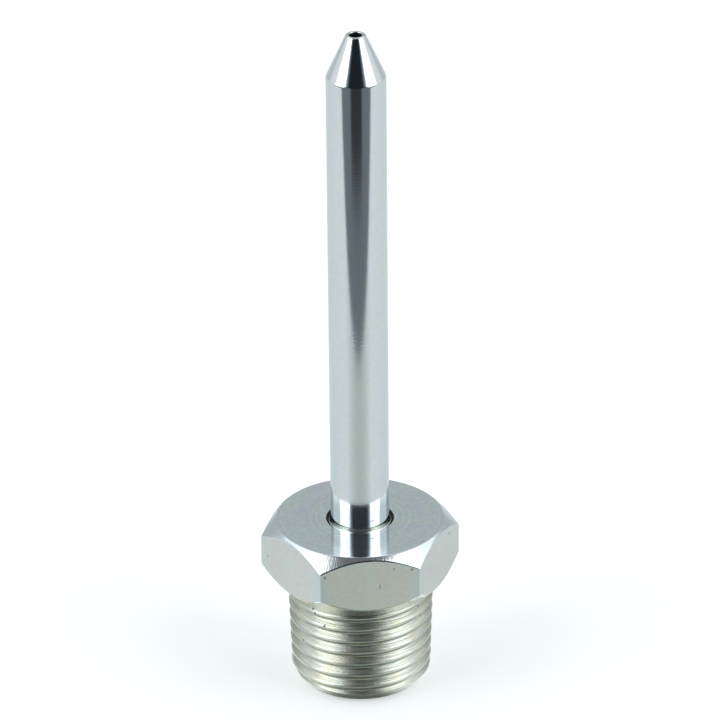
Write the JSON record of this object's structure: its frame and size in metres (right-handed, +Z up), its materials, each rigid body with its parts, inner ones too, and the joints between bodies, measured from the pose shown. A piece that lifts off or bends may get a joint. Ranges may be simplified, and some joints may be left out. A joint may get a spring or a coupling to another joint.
{
  "type": "grease nipple coupler",
  "caption": "Slim pointed grease coupler: hexagon nipple with a tapered male pipe thread below and a long smooth stem with a pointed, drilled nose above.",
  "frame": {"origin": "centre of the thread's end face, on which the coupler stands", "axes": "+Z up along the stem's axis, towards the nose; one flat of the hexagon faces -Y"},
  "size_m": [0.0136, 0.0118, 0.048],
  "materials": {
    "nipple_steel": "satin",
    "stem_steel": "gloss"
  },
  "bodies": {
    "root": {"hex_nipple": "nipple_steel", "stem": "stem_steel"}
  },
  "joints": []
}
